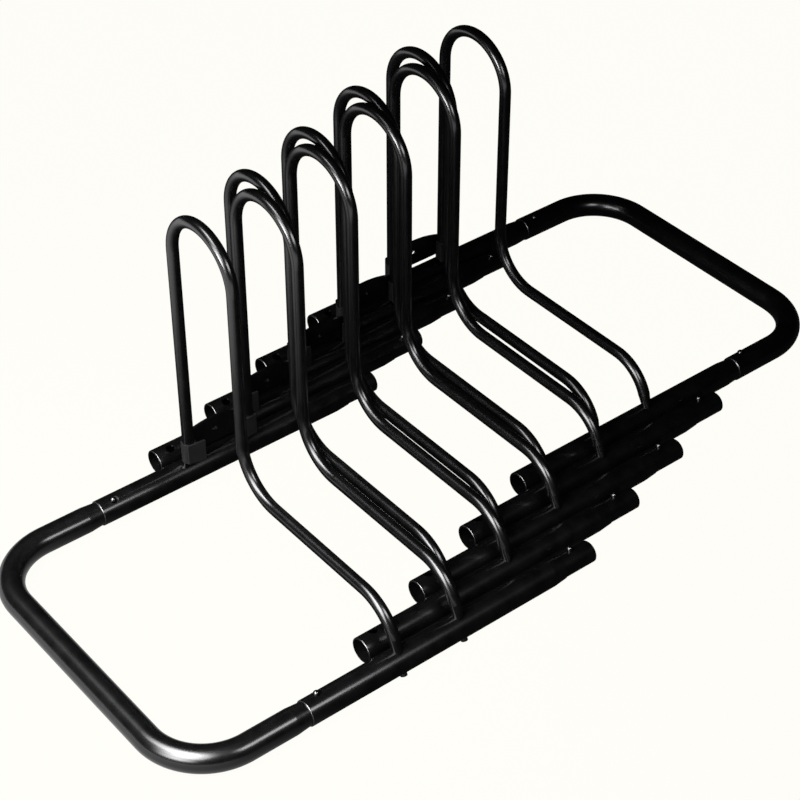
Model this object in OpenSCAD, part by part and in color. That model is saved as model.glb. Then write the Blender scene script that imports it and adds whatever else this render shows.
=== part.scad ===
// Nesting wheel stand: five two-hoop stands side by side in echelon, with a
// push-on end loop at each end. Sizes are in millimetres. X runs along the
// rails, Y from the front rails to the back rails, and Z is up. The origin is
// on the floor, in the middle of the stand.

/* [Tube] */
// Outside diameter of the rails and the end loops
rail_d = 25; // [24.5:0.1:25.5]
// Inside diameter of the rails and the end loops
rail_bore_d = 21; // [20.6:0.1:21.2]
// Distance between the front and back rail axes of one stand
rail_spacing = 323; // [315:1:335]

/* [Push-on joint] */
// Rail length from the socket mouth to the shoulder
rail_len = 287; // [280:1:300]
// Inside diameter of the socket
socket_d = 21.8; // [21.7:0.1:22.2]
// Depth of the socket
socket_depth = 40; // [38:1:45]
// Outside diameter of the drawn-down plug
plug_d = 21.4; // [21.2:0.1:21.5]
// Inside diameter of the plug
plug_bore_d = 17.8; // [17.4:0.1:18]
// Length of the plug past the shoulder
plug_len = 36; // [34:1:38]
// Length of the cone between the full tube and the shoulder
cone_len = 14; // [10:1:16]

/* [Hoops] */
// Diameter of the hoop rod
rod_d = 11.5; // [10:0.5:12]
// Distance from the socket mouth to the left hoop
first_hoop_x = 99; // [90:1:110]
// Distance between the two hoops, centre to centre
hoop_spacing = 68; // [60:1:75]
// Height of the hoop's top centreline over the rail axis
hoop_top = 307; // [280:1:330]
// Centreline radius of the half-circle at the top
hoop_r = 46; // [40:1:50]
// Height of the forward run over the rail axis
run_height = 52; // [48:1:60]
// Centreline radius of the bend into the forward run
back_bend_r = 48; // [40:1:50]
// Centreline radius of the bend down to the front rail
front_bend_r = 45; // [38:1:46]
// Lean of the hoop's front end from upright, in degrees
end_lean = 22; // [15:1:25]
// Distance of the back leg in front of the back rail's axis
leg_offset = 7; // [6:0.5:7]

/* [Foot parts] */
// Height of the foot collars
collar_h = 22; // [18:1:30]
// Thickness of the tie plate
plate_t = 3; // [2:0.5:4]
// Diameter of the hole in the tie plate
plate_hole_d = 5.5; // [4:0.5:7]
// Diameter of the hoop screws
screw_d = 5; // [4:0.5:5]

/* [End loops] */
// Distance from the joint to the axis of the loop's cross tube
loop_reach = 119; // [110:1:130]
// Centreline radius of the loop's corners
loop_corner_r = 60; // [50:1:70]

/* [Snap buttons] */
// Diameter of the button
button_d = 6; // [5:0.5:6]
// Diameter of the hole in the socket
socket_hole_d = 8.6; // [8:0.1:9]
// Distance from the shoulder to the button
button_x = 15; // [14:1:18]
// Lean of the buttons towards the middle of the stand, in degrees
button_lean = 18; // [0:1:30]

/* [Hidden] */
$fn = 64;
stands = [1:5];
// where each stand's socket mouth lies, relative to the first stand
nest = [[0, 0], [82, 29], [165, 55], [247, 83], [333, 110]];
middle = [(nest[4][0] + rail_len) / 2, (nest[4][1] + rail_spacing) / 2, -rail_d / 2];

rail_r = rail_d / 2;
bore_r = rail_bore_d / 2;
plug_r = plug_d / 2;
plug_bore_r = plug_bore_d / 2;
shoulder_r = socket_d / 2 + 0.4;
lip_r = 0.9;
tip_edge = 0.6;
wall_step = 2;

hoop_xs = [first_hoop_x, first_hoop_x + hoop_spacing];
leg_y = rail_spacing - leg_offset;
end_tip_d = 8.4;
end_overlap = 1;
end_step = 0.05;
end_drop = run_height - front_bend_r * (1 - sin(end_lean)) - rail_r;
end_straight = end_drop / cos(end_lean);
front_bend_y = end_straight * sin(end_lean) + front_bend_r * cos(end_lean);
run_len = leg_y - 2 * hoop_r - back_bend_r - front_bend_y;
seat_depth = 4;
end_len = end_overlap + end_straight + seat_depth;

screw_clearance = 0.2;
screw_hole_d = screw_d + screw_clearance;
screw_len = 34;
head_d = 6.6;
head_h = 6;
head_stand = 1.4;
recess_d = 3;
recess_h = 0.9;
screw_exit = 2 * rail_r * cos(end_lean);

foot_step = 0.3;
collar_z = 19;
collar_yaw = -8;
clip_r = rod_d / 2 + 1.3;
clip_back = 3.6;
face_front = rod_d / 2 + 1.5;
face_t = 2.4;
face_corner = 0.8;
face_left = 3.8;
face_right = 15;
right_face_left = 7.5;
right_face_right = 6;
plate_bottom = 21.5;
plate_top = 50;
plate_end_top = 43;
plate_overhang = 3;
plate_half = hoop_spacing / 2 + plate_overhang;
plate_rise = plate_top - plate_end_top;
plate_arc_r = (plate_half * plate_half + plate_rise * plate_rise) / (2 * plate_rise);
plate_hole_z = 35.5;

button_top = rail_r + 2.9;
button_dome_r = button_d / 2;
button_fit = 0.05;
flange_d = 8.4;
flange_top = 7.5;
flange_t = 1.1;
socket_hole_x = button_x + 1;
leaf_t = 0.8;
leaf_w = 7;
leaf_low = 8.1;
leaf_bend_r = 3;
leaf_x = -36;
leaf_pad = 9;
leaf_gap = 0.05;
leaf_high = flange_top - flange_t - leaf_gap;
leaf_mid_r = leaf_bend_r - leaf_t / 2;
leaf_dx = -leaf_pad / 2 - leaf_x;
leaf_dy = leaf_high - leaf_t / 2 + leaf_low - leaf_bend_r;
leaf_leg = sqrt(leaf_dx * leaf_dx + leaf_dy * leaf_dy - leaf_mid_r * leaf_mid_r);
leaf_angle = atan2(leaf_dy, leaf_dx) - atan2(leaf_mid_r, leaf_leg);

powder = [0.03, 0.03, 0.032];
nylon = [0.1, 0.1, 0.105];
zinc = [0.75, 0.76, 0.78];
spring_steel = [0.45, 0.46, 0.48];

// ---- frames ----

// Carries stand k to its place in the nest
module stand(k) {
    translate([nest[k - 1][0], nest[k - 1][1], 0] - middle) children();
}

// Turns a shape drawn along +Z to lie along +X
module along_x() rotate([0, 90, 0]) children();

// Turns a shape drawn outwards along +Z to a rail's button direction:
// side 1 is the front rail and -1 the back rail
module button_way(side) rotate([-side * button_lean, 0, 0]) children();

// ---- bent tube and rod ----

// A quarter or other part of a ring, from the origin, bending towards +X
module bend(r, angle, d) {
    translate([r, 0, 0]) rotate([90, 0, 180])
        rotate_extrude(angle = angle) translate([r, 0]) circle(d = d);
}

// A rod that starts up +Z. Each leg is [straight, bend radius, bend angle],
// and a negative angle bends towards -X. A child is drawn on from its end.
module bent_rod(d, legs, n = 0) {
    if (n < len(legs)) {
        straight = legs[n][0];
        angle = legs[n][2];
        r = legs[n][1] * sign(angle);
        cylinder(d = d, h = straight);
        translate([0, 0, straight]) {
            if (angle > 0) bend(r, angle, d);
            if (angle < 0) mirror([1, 0, 0]) bend(-r, -angle, d);
            translate([r, 0, 0]) rotate([0, angle, 0]) translate([-r, 0, 0])
                bent_rod(d, legs, n + 1) children();
        }
    } else children();
}

// ---- rails ----

// Rounds the outer edge of a half section's mouth, at length 0
module round_lip() {
    difference() {
        children();
        difference() {
            translate([rail_r - lip_r, -lip_r]) square([2 * lip_r, 2 * lip_r]);
            translate([rail_r - lip_r, lip_r]) circle(r = lip_r);
        }
    }
}

// Half section of a rail: radius across, length up
module rail_section() {
    tip = rail_len + plug_len;
    round_lip() polygon([
        [rail_r, 0], [rail_r, rail_len - cone_len],
        [shoulder_r, rail_len], [plug_r, rail_len], [plug_r, tip - tip_edge],
        [plug_r - tip_edge, tip], [plug_bore_r, tip],
        [plug_bore_r, rail_len - wall_step],
        [bore_r, rail_len - cone_len - wall_step],
        [bore_r, socket_depth], [socket_d / 2, socket_depth], [socket_d / 2, 0]
    ]);
}

module socket_hole(side) {
    button_way(side) cylinder(d = socket_hole_d, h = rail_d);
}

module plug_hole(side) {
    button_way(side) cylinder(d = button_d + 2 * button_fit, h = rail_d);
}

// A tube with a socket at one end and a plug at the other
module rail(side) {
    difference() {
        along_x() rotate_extrude() rail_section();
        translate([socket_hole_x, 0, 0]) socket_hole(side);
        translate([rail_len + button_x, 0, 0]) plug_hole(side);
    }
}

module front_rail() {
    color(powder) difference() {
        rail(1);
        for (x = hoop_xs) translate([x, 0, 0]) screw_path();
    }
}

module back_rail() color(powder) translate([0, rail_spacing, 0]) rail(-1);

// ---- hoops ----

// The rod from its back foot over the top and forward to the front rail
module hoop_rod() {
    over = hoop_top - hoop_r;
    translate([0, leg_y, 0]) rotate([0, 0, -90]) bent_rod(rod_d, [
        [over, hoop_r, 180],
        [over - run_height - back_bend_r, back_bend_r, -90],
        [run_len, front_bend_r, 90 - end_lean]
    ])
        translate([0, 0, -end_overlap])
            cylinder(d1 = rod_d - end_step, d2 = end_tip_d, h = end_len);
}

module hoop(x) {
    color(powder) difference() {
        translate([x, 0, 0]) hoop_rod();
        along_x() cylinder(r = rail_r, h = rail_len);
        translate([0, rail_spacing, 0]) along_x() cylinder(r = rail_r, h = rail_len);
        translate([x, 0, 0]) screw_path();
        // the step at the back foot, under the collar
        translate([x - rod_d, leg_y - foot_step - rod_d, 0])
            cube([2 * rod_d, rod_d, collar_z]);
    }
}

module left_hoop() hoop(hoop_xs[0]);

module right_hoop() hoop(hoop_xs[1]);

// A hoop screw's own frame, relative to the front rail's axis: its head's face
// is at the origin and its tip up +Z, along the lean of the hoop's front end
module screw_way() {
    translate([0, 0, rail_r]) rotate([180 - end_lean, 0, 0])
        translate([0, 0, screw_exit + head_stand]) rotate([180, 0, 0]) children();
}

// The clearance hole up through the rail and into the hoop's end
module screw_path() {
    screw_way() cylinder(d = screw_hole_d, h = screw_len + screw_clearance);
}

// The head beds on the rail, so the rail's outside is cut from it
module hoop_screw() {
    difference() {
        screw_way() cylinder(d = head_d, h = head_h);
        translate([-rail_d, 0, 0]) along_x() cylinder(r = rail_r, h = 2 * rail_d);
        screw_way() cylinder(d = recess_d, h = 2 * recess_h, center = true, $fn = 6);
    }
    screw_way() translate([0, 0, recess_h]) cylinder(d = screw_d, h = screw_len - recess_h);
}

module hoop_screws() {
    color(zinc) for (x = hoop_xs) translate([x, 0, 0]) hoop_screw();
}

// ---- foot collars and tie plate ----

// A rectangle with round corners, from its lower left corner
module round_rect(w, d, r) {
    translate([r, 0]) square([w - 2 * r, d]);
    translate([0, r]) square([w, d - 2 * r]);
    for (x = [r, w - r], y = [r, d - r]) translate([x, y]) circle(r = r);
}

// A clip round the back leg with a flat face in front of it: left and right are
// the face's reach from the leg's axis
module collar(left, right) {
    linear_extrude(height = collar_h) difference() {
        union() {
            intersection() {
                circle(r = clip_r);
                translate([-clip_r, -clip_r]) square([2 * clip_r, clip_r + clip_back]);
            }
            translate([-left, -face_front]) round_rect(left + right, face_t, face_corner);
        }
        circle(d = rod_d);
    }
}

module foot_collars() {
    color(nylon) {
        translate([hoop_xs[0], leg_y, collar_z]) rotate([0, 0, collar_yaw])
            collar(face_left, face_right);
        translate([hoop_xs[1], leg_y, collar_z]) collar(right_face_left, right_face_right);
    }
}

module tie_plate() {
    mid = (hoop_xs[0] + hoop_xs[1]) / 2;
    color(powder) translate([mid, leg_y + rod_d / 2, 0]) difference() {
        intersection() {
            translate([-plate_half, 0, plate_bottom])
                cube([2 * plate_half, plate_t, plate_top - plate_bottom]);
            translate([0, 0, plate_top - plate_arc_r]) rotate([-90, 0, 0])
                cylinder(r = plate_arc_r, h = plate_t, $fn = 128);
        }
        translate([0, -plate_t, plate_hole_z]) rotate([-90, 0, 0])
            cylinder(d = plate_hole_d, h = 3 * plate_t);
    }
}

// ---- snap buttons ----

// The button stands outwards along +Z, from the middle of its plug
module button() {
    translate([0, 0, button_top - button_dome_r]) sphere(r = button_dome_r);
    translate([0, 0, flange_top]) cylinder(d = button_d, h = button_top - button_dome_r - flange_top);
    translate([0, 0, flange_top - flange_t]) cylinder(d = flange_d, h = flange_t);
}

// The hairpin leaf spring's outline, under a button at x = 0
module leaf_outline() {
    translate([leaf_x, leaf_bend_r - leaf_low]) {
        intersection() {
            difference() {
                circle(r = leaf_bend_r);
                circle(r = leaf_bend_r - leaf_t);
            }
            translate([-2 * leaf_bend_r, -leaf_bend_r])
                square([2 * leaf_bend_r, 2 * leaf_bend_r]);
            rotate(leaf_angle) translate([-2 * leaf_bend_r, -2 * leaf_bend_r])
                square([2 * leaf_bend_r, 4 * leaf_bend_r]);
        }
        translate([0, -leaf_bend_r]) square([-leaf_x + leaf_pad, leaf_t]);
        rotate(leaf_angle) translate([0, leaf_bend_r - leaf_t]) square([leaf_leg, leaf_t]);
    }
    translate([-leaf_pad / 2, leaf_high - leaf_t]) square([leaf_pad, leaf_t]);
}

module leaf_spring() {
    rotate([90, 0, 0]) linear_extrude(height = leaf_w, center = true) leaf_outline();
}

// A button or spring at the plug whose shoulder is at x, on the front or back
module at_plug(x, side) {
    translate([x + button_x, side > 0 ? 0 : rail_spacing, 0]) button_way(side) children();
}

module front_button(x) color(zinc) at_plug(x, 1) button();

module back_button(x) color(zinc) at_plug(x, -1) button();

module button_springs(x) {
    color(spring_steel) for (side = [1, -1]) at_plug(x, side) leaf_spring();
}

// ---- end loops ----

// The loop's bent stretch: it leaves the front joint straight for `lead`
module loop_rod(d, lead) {
    straight = loop_reach - loop_corner_r - lead;
    bent_rod(d, [
        [straight, loop_corner_r, 90],
        [rail_spacing - 2 * loop_corner_r, loop_corner_r, 90],
        [straight, 0, 0]
    ]);
}

// Half section of the loop's plug end: the shoulder is at length 0
module plug_section() {
    polygon([
        [rail_r, -cone_len], [shoulder_r, 0], [plug_r, 0], [plug_r, plug_len - tip_edge],
        [plug_r - tip_edge, plug_len], [plug_bore_r, plug_len],
        [plug_bore_r, -wall_step], [bore_r, -cone_len]
    ]);
}

// Half section of the loop's socket end: the mouth is at length 0
module socket_section() {
    round_lip() polygon([
        [rail_r, 0], [rail_r, socket_depth + wall_step],
        [bore_r, socket_depth + wall_step], [bore_r, socket_depth],
        [socket_d / 2, socket_depth], [socket_d / 2, 0]
    ]);
}

module left_loop() {
    color(powder) difference() {
        union() {
            difference() {
                translate([-cone_len, 0, 0]) rotate([-90, 0, 0]) rotate([0, -90, 0])
                    loop_rod(rail_d, cone_len);
                translate([-cone_len, 0, 0]) rotate([-90, 0, 0]) rotate([0, -90, 0])
                    loop_rod(rail_bore_d, cone_len);
            }
            for (y = [0, rail_spacing]) translate([0, y, 0])
                along_x() rotate_extrude() plug_section();
        }
        for (side = [1, -1]) at_plug(0, side) cylinder(d = button_d + 2 * button_fit, h = rail_d);
    }
}

module right_loop() {
    lead = socket_depth + wall_step;
    color(powder) translate([rail_len, 0, 0]) difference() {
        union() {
            difference() {
                translate([lead, 0, 0]) rotate([90, 0, 0]) rotate([0, 90, 0])
                    loop_rod(rail_d, lead);
                translate([lead, 0, 0]) rotate([90, 0, 0]) rotate([0, 90, 0])
                    loop_rod(rail_bore_d, lead);
            }
            for (y = [0, rail_spacing]) translate([0, y, 0])
                along_x() rotate_extrude() socket_section();
        }
        for (side = [1, -1]) translate([socket_hole_x, side > 0 ? 0 : rail_spacing, 0])
            socket_hole(side);
    }
}

// ---- nodes ----

for (k = stands) stand(k) {
    front_rail();
    back_rail();
    left_hoop();
    right_hoop();
    foot_collars();
    tie_plate();
    hoop_screws();
    front_button(rail_len);
    back_button(rail_len);
    button_springs(rail_len);
}
stand(1) left_loop();
stand(1) front_button(0);  // left_loop_front_button
stand(1) back_button(0);  // left_loop_back_button
stand(1) button_springs(0);  // left_loop_springs
stand(5) right_loop();
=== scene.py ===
"""Looks for the nesting wheel stand: satin powder coat, bare socket lips, plated snap buttons,
moulded collars, and a plain studio with the camera at the photograph's angle."""
import math

import bpy
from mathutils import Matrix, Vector


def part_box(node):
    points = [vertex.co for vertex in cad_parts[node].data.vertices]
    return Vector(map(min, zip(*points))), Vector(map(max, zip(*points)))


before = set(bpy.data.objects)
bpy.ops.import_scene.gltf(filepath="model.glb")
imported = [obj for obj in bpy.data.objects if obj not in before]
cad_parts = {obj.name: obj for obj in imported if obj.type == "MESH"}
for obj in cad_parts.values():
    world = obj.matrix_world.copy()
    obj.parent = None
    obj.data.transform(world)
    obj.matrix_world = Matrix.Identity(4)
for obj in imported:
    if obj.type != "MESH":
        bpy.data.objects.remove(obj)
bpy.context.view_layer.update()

MM = 0.001
STANDS = range(1, 6)

# ---- node tools ----

NOISE_ROUGHNESS = 0.55  # how strong each finer octave is


def new_material(name):
    """A node material with an empty Principled shader; returns (material, nodes, links, shader)."""
    material = bpy.data.materials.new(name)
    material.use_nodes = True
    tree = material.node_tree
    return material, tree.nodes, tree.links, tree.nodes["Principled BSDF"]


def noise(nodes, links, place, size_mm, detail=3.0):
    """A noise whose features are about size_mm across, in the part's own space."""
    node = nodes.new("ShaderNodeTexNoise")
    node.inputs["Scale"].default_value = 1 / (size_mm * MM)
    node.inputs["Detail"].default_value = detail
    node.inputs["Roughness"].default_value = NOISE_ROUGHNESS
    links.new(place, node.inputs["Vector"])
    return node.outputs["Fac"]


def ramp(nodes, links, value, low, high, start, end, smooth=False):
    """value mapped from low..high to start..end, held at both ends."""
    node = nodes.new("ShaderNodeMapRange")
    node.interpolation_type = "SMOOTHSTEP" if smooth else "LINEAR"
    node.inputs["From Min"].default_value = low
    node.inputs["From Max"].default_value = high
    node.inputs["To Min"].default_value = start
    node.inputs["To Max"].default_value = end
    links.new(value, node.inputs["Value"])
    return node.outputs["Result"]


def mix_colour(nodes, links, share, first, second):
    """first where share is 0 and second where it is 1; each is a colour or a socket."""
    node = nodes.new("ShaderNodeMix")
    node.data_type = "RGBA"
    links.new(share, node.inputs["Factor"])
    for name, value in (("A", first), ("B", second)):
        socket = next(s for s in node.inputs if s.name == name and s.type == "RGBA")
        if isinstance(value, tuple):
            socket.default_value = (*value, 1)
        else:
            links.new(value, socket)
    return next(s for s in node.outputs if s.type == "RGBA")


def mix_value(nodes, links, share, first, second):
    """first where share is 0 and second where it is 1; each is a number or a socket."""
    node = nodes.new("ShaderNodeMix")
    node.data_type = "FLOAT"
    links.new(share, node.inputs["Factor"])
    for name, value in (("A", first), ("B", second)):
        socket = next(s for s in node.inputs if s.name == name and s.type == "VALUE")
        if isinstance(value, (int, float)):
            socket.default_value = value
        else:
            links.new(value, socket)
    return next(s for s in node.outputs if s.type == "VALUE")


def math_node(nodes, links, operation, first, second):
    """first and second combined by a Math operation; each is a number or a socket."""
    node = nodes.new("ShaderNodeMath")
    node.operation = operation
    for socket, value in zip(node.inputs, (first, second)):
        if isinstance(value, (int, float)):
            socket.default_value = value
        else:
            links.new(value, socket)
    return node.outputs["Value"]


def mix_shader(nodes, links, share, first, second):
    """first where share is 0 and second where it is 1; share is a number or a socket."""
    node = nodes.new("ShaderNodeMixShader")
    if isinstance(share, float):
        node.inputs["Fac"].default_value = share
    else:
        links.new(share, node.inputs["Fac"])
    links.new(first, node.inputs[1])
    links.new(second, node.inputs[2])
    return node.outputs["Shader"]


def bump(nodes, links, height, depth_mm):
    """A bump whose full height is depth_mm."""
    node = nodes.new("ShaderNodeBump")
    node.inputs["Strength"].default_value = 1.0
    node.inputs["Distance"].default_value = depth_mm * MM
    links.new(height, node.inputs["Height"])
    return node.outputs["Normal"]


# ---- materials ----

COAT_DARK = (0.0006, 0.0006, 0.0007)
COAT_LIGHT = (0.0014, 0.0014, 0.0015)
COAT_ROUGH = (0.22, 0.24)
COAT_CLOUD_MM = 14.0
COAT_PEBBLE_MM = 1.8
COAT_PEBBLE_DEPTH_MM = 0.0025
BARE_STEEL = (0.14, 0.14, 0.137)
BARE_STEEL_ROUGH = 0.3
LIP_WIDTH_MM = 0.45
LIP_RAGGED_MM = 0.12  # how far the lip's edge wanders
LIP_WANDER_MM = 1.5   # over what length it does
NYLON_DARK = (0.0030, 0.0030, 0.0032)
NYLON_LIGHT = (0.0045, 0.0045, 0.0048)
NYLON_ROUGH = (0.52, 0.62)
NYLON_SHEEN = 0.28
NYLON_GRAIN_DEPTH_MM = 0.03
METAL_CLOUD_MM = 4.0


def powder_coat(name, lip_x=None):
    """Satin black powder coat: a fine pebbled skin, slight cloudiness in tone and gloss.
    With lip_x, the steel is bare for the last LIP_WIDTH_MM of the tube's mouth there."""
    material, nodes, links, shader = new_material(name)
    place = nodes.new("ShaderNodeTexCoord").outputs["Object"]
    cloud = noise(nodes, links, place, COAT_CLOUD_MM)
    pebble = noise(nodes, links, place, COAT_PEBBLE_MM, detail=1.0)
    tone = ramp(nodes, links, cloud, 0.35, 0.65, 0.0, 1.0)
    colour = mix_colour(nodes, links, tone, COAT_DARK, COAT_LIGHT)
    rough = ramp(nodes, links, cloud, 0.3, 0.7, *COAT_ROUGH)
    if lip_x is not None:
        axes = nodes.new("ShaderNodeSeparateXYZ")
        links.new(place, axes.inputs["Vector"])
        wander = noise(nodes, links, place, LIP_WANDER_MM)
        ragged = ramp(nodes, links, wander, 0.3, 0.7, -LIP_RAGGED_MM * MM, LIP_RAGGED_MM * MM)
        edge = math_node(nodes, links, "ADD", axes.outputs["X"], ragged)
        bare = math_node(nodes, links, "LESS_THAN", edge, lip_x + LIP_WIDTH_MM * MM)
        colour = mix_colour(nodes, links, bare, colour, BARE_STEEL)
        rough = mix_value(nodes, links, bare, rough, BARE_STEEL_ROUGH)
        links.new(bare, shader.inputs["Metallic"])
    links.new(colour, shader.inputs["Base Color"])
    links.new(rough, shader.inputs["Roughness"])
    links.new(bump(nodes, links, pebble, COAT_PEBBLE_DEPTH_MM), shader.inputs["Normal"])
    shader.inputs["IOR"].default_value = 1.5
    return material


def moulded_nylon():
    """Matt black nylon with a fine moulded grain."""
    material, nodes, links, shader = new_material("moulded_nylon")
    place = nodes.new("ShaderNodeTexCoord").outputs["Object"]
    texture = noise(nodes, links, place, 0.5, detail=4.0)
    cloud = noise(nodes, links, place, 6.0)
    links.new(mix_colour(nodes, links, cloud, NYLON_DARK, NYLON_LIGHT), shader.inputs["Base Color"])
    links.new(ramp(nodes, links, cloud, 0.3, 0.7, *NYLON_ROUGH), shader.inputs["Roughness"])
    links.new(bump(nodes, links, texture, NYLON_GRAIN_DEPTH_MM), shader.inputs["Normal"])
    shader.inputs["Specular IOR Level"].default_value = NYLON_SHEEN
    return material


def metal(name, dark, light, rough, grain_mm, depth_mm):
    """Bare or blackened metal with a fine grain in its colour, gloss and surface."""
    material, nodes, links, shader = new_material(name)
    place = nodes.new("ShaderNodeTexCoord").outputs["Object"]
    grain = noise(nodes, links, place, grain_mm, detail=4.0)
    cloud = noise(nodes, links, place, METAL_CLOUD_MM)
    links.new(mix_colour(nodes, links, cloud, dark, light), shader.inputs["Base Color"])
    links.new(ramp(nodes, links, grain, 0.3, 0.7, *rough), shader.inputs["Roughness"])
    links.new(bump(nodes, links, grain, depth_mm), shader.inputs["Normal"])
    shader.inputs["Metallic"].default_value = 1.0
    return material


def paint(node, material):
    """Gives a CAD node its finish."""
    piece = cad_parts[node]
    piece.data.materials.clear()
    piece.data.materials.append(material)


def finish_parts():
    """Makes the finishes and gives every CAD node its own."""
    coat = powder_coat("powder_coat")
    nylon = moulded_nylon()
    button_steel = metal("button_steel", (0.06, 0.06, 0.062), (0.09, 0.09, 0.09), (0.18, 0.26),
                         grain_mm=0.4, depth_mm=0.002)
    spring_steel = metal("spring_steel", (0.30, 0.30, 0.31), (0.42, 0.42, 0.43), (0.30, 0.45),
                         grain_mm=0.5, depth_mm=0.006)
    black_oxide = metal("black_oxide", (0.035, 0.035, 0.037), (0.06, 0.06, 0.062), (0.36, 0.50),
                        grain_mm=0.5, depth_mm=0.01)
    for k in STANDS:
        for side in ("front", "back"):
            rail = f"{side}_rail_{k}"
            paint(rail, powder_coat(f"powder_coat_{rail}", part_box(rail)[0].x))
            paint(f"{side}_button_{k}", button_steel)
        for node in (f"left_hoop_{k}", f"right_hoop_{k}", f"tie_plate_{k}"):
            paint(node, coat)
        paint(f"foot_collars_{k}", nylon)
        paint(f"hoop_screws_{k}", black_oxide)
        paint(f"button_springs_{k}", spring_steel)
    paint("left_loop", coat)
    paint("right_loop", powder_coat("powder_coat_right_loop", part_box("right_loop")[0].x))
    for side in ("front", "back"):
        paint(f"left_loop_{side}_button", button_steel)
    paint("left_loop_springs", spring_steel)


# ---- studio ----

CAMERA_AT = Vector((-1.0108, -1.2217, 1.3247))
CAMERA_LOOKS_AT = Vector((-0.0350, 0.0001, 0.0777))
CAMERA_LENS_MM = 95.1
FLOOR_HALF = 14
FLOOR_DROP = 0.0005  # keeps the floor just clear of the stand's underside
FLOOR_TONE = (0.991, 0.982, 0.939)
FLOOR_EVENNESS = 0.996
# painted light: where and how strongly the floor glows in reflections, standing in for a floor lit by one
# side lamp
PAINTED_GLOW_X = (-0.62, -0.25)
PAINTED_GLOW_STRENGTH = (1.6, 0.02)
ROOM_GLOW = 0.005  # what the far room adds; to the eye it is as pale as the floor
# three gridded panels in an arc from the left to overhead, all aimed at the stand's left end,
# and one more that shines over the rails at the tops of the hoops
KEY_AIM = (-0.42, -0.03, 0.05)
KEY_SIZE = (0.95, 0.42)
KEY_PANELS = (
    ("key_low", (-1.08, -0.22, 0.42), 2.2, 50),
    ("key_middle", (-0.86, -0.20, 0.66), 4.0, 60),
    ("key_top", (-0.66, 0.02, 0.80), 5.0, 62),
)
HOOP_LIGHT_AT = (-1.02, -0.06, 0.60)
HOOP_LIGHT_AIM = (0.00, 0.08, 0.42)
HOOP_LIGHT_SIZE = (0.50, 0.30)
HOOP_LIGHT_WATTS = 1.4
HOOP_LIGHT_SPREAD = 42
FILL_AT = (-0.08, -0.70, 0.70)
FILL_AIM = (-0.12, -0.08, 0.05)
FILL_SIZE = (0.36, 0.26)
FILL_WATTS = 1.7
FILL_SPREAD = 110


def make_camera():
    """The camera at the photograph's place and angle."""
    data = bpy.data.cameras.new("camera")
    data.lens = CAMERA_LENS_MM
    data.sensor_width = 36
    data.clip_start, data.clip_end = 0.05, 30
    camera = bpy.data.objects.new("camera", data)
    camera.location = CAMERA_AT
    camera.rotation_euler = (CAMERA_LOOKS_AT - CAMERA_AT).to_track_quat("-Z", "Y").to_euler()
    bpy.context.scene.collection.objects.link(camera)
    bpy.context.scene.camera = camera


def softbox(name, place, towards, size, watts, spread_degrees):
    """A soft light facing `towards`, size wide and high; a narrow spread is a grid on its front."""
    data = bpy.data.lights.new(name, "AREA")
    data.shape = "RECTANGLE"
    data.size, data.size_y = size
    data.energy = watts
    data.spread = math.radians(spread_degrees)
    lamp = bpy.data.objects.new(name, data)
    lamp.visible_camera = False
    lamp.location = place
    lamp.rotation_euler = (Vector(towards) - Vector(place)).to_track_quat("-Z", "Y").to_euler()
    bpy.context.scene.collection.objects.link(lamp)


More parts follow.
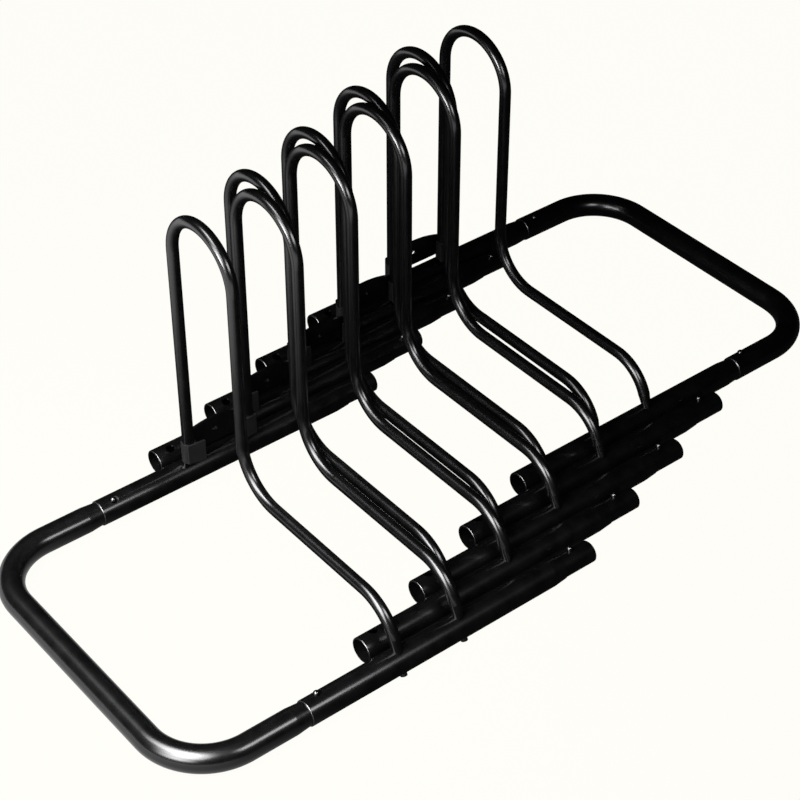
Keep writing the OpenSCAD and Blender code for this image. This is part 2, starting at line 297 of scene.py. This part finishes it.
def make_floor():
    """A pale sweep that looks bright and even. In reflections on the stand it is a painted glow, not a lit
    floor:
    its painted light is strongest beyond the left end and dies away to the right, as under one side light."""
    mesh = bpy.data.meshes.new("floor")
    corners = [(FLOOR_HALF * x, FLOOR_HALF * y, 0) for x, y in ((-1, -1), (1, -1), (1, 1), (-1, 1))]
    mesh.from_pydata(corners, [], [(0, 1, 2, 3)])
    floor = bpy.data.objects.new("floor", mesh)
    floor.location.z = -FLOOR_DROP
    bpy.context.scene.collection.objects.link(floor)
    material, nodes, links, shader = new_material("pale_floor")
    place = nodes.new("ShaderNodeTexCoord").outputs["Object"]
    tone = noise(nodes, links, place, 900.0)
    links.new(mix_colour(nodes, links, tone, (0.74, 0.735, 0.71), (0.76, 0.755, 0.73)),
              shader.inputs["Base Color"])
    shader.inputs["Roughness"].default_value = 0.9
    shader.inputs["Specular IOR Level"].default_value = 0.0
    glow = nodes.new("ShaderNodeEmission")
    glow.inputs["Color"].default_value = (*FLOOR_TONE, 1)
    face = mix_shader(nodes, links, FLOOR_EVENNESS, shader.outputs["BSDF"], glow.outputs["Emission"])
    axes = nodes.new("ShaderNodeSeparateXYZ")
    links.new(place, axes.inputs["Vector"])
    # painted light: for all but camera rays the floor glows, brightest at the left end, in place of light
    # thrown back from a side lamp
    painted_glow = nodes.new("ShaderNodeEmission")
    links.new(ramp(nodes, links, axes.outputs["X"], *PAINTED_GLOW_X, *PAINTED_GLOW_STRENGTH, smooth=True),
              painted_glow.inputs["Strength"])
    seen = nodes.new("ShaderNodeLightPath").outputs["Is Camera Ray"]
    links.new(mix_shader(nodes, links, seen, painted_glow.outputs["Emission"], face),
              nodes["Material Output"].inputs["Surface"])
    mesh.materials.append(material)


def make_studio():
    """The view's colours, the dim room, the lights, the floor and the camera."""
    scene = bpy.context.scene
    scene.view_settings.view_transform = "Standard"
    world = bpy.data.worlds.new("studio")
    world.use_nodes = True
    nodes, links = world.node_tree.nodes, world.node_tree.links
    background = nodes["Background"]
    background.inputs["Color"].default_value = (*FLOOR_TONE, 1)
    seen = nodes.new("ShaderNodeLightPath").outputs["Is Camera Ray"]
    links.new(ramp(nodes, links, seen, 0, 1, ROOM_GLOW, 1), background.inputs["Strength"])
    scene.world = world
    for name, place, watts, spread in KEY_PANELS:
        softbox(name, place, KEY_AIM, KEY_SIZE, watts, spread)
    softbox("hoop_light", HOOP_LIGHT_AT, HOOP_LIGHT_AIM, HOOP_LIGHT_SIZE, HOOP_LIGHT_WATTS, HOOP_LIGHT_SPREAD)
    softbox("fill_front", FILL_AT, FILL_AIM, FILL_SIZE, FILL_WATTS, FILL_SPREAD)
    make_floor()
    make_camera()


make_studio()
finish_parts()
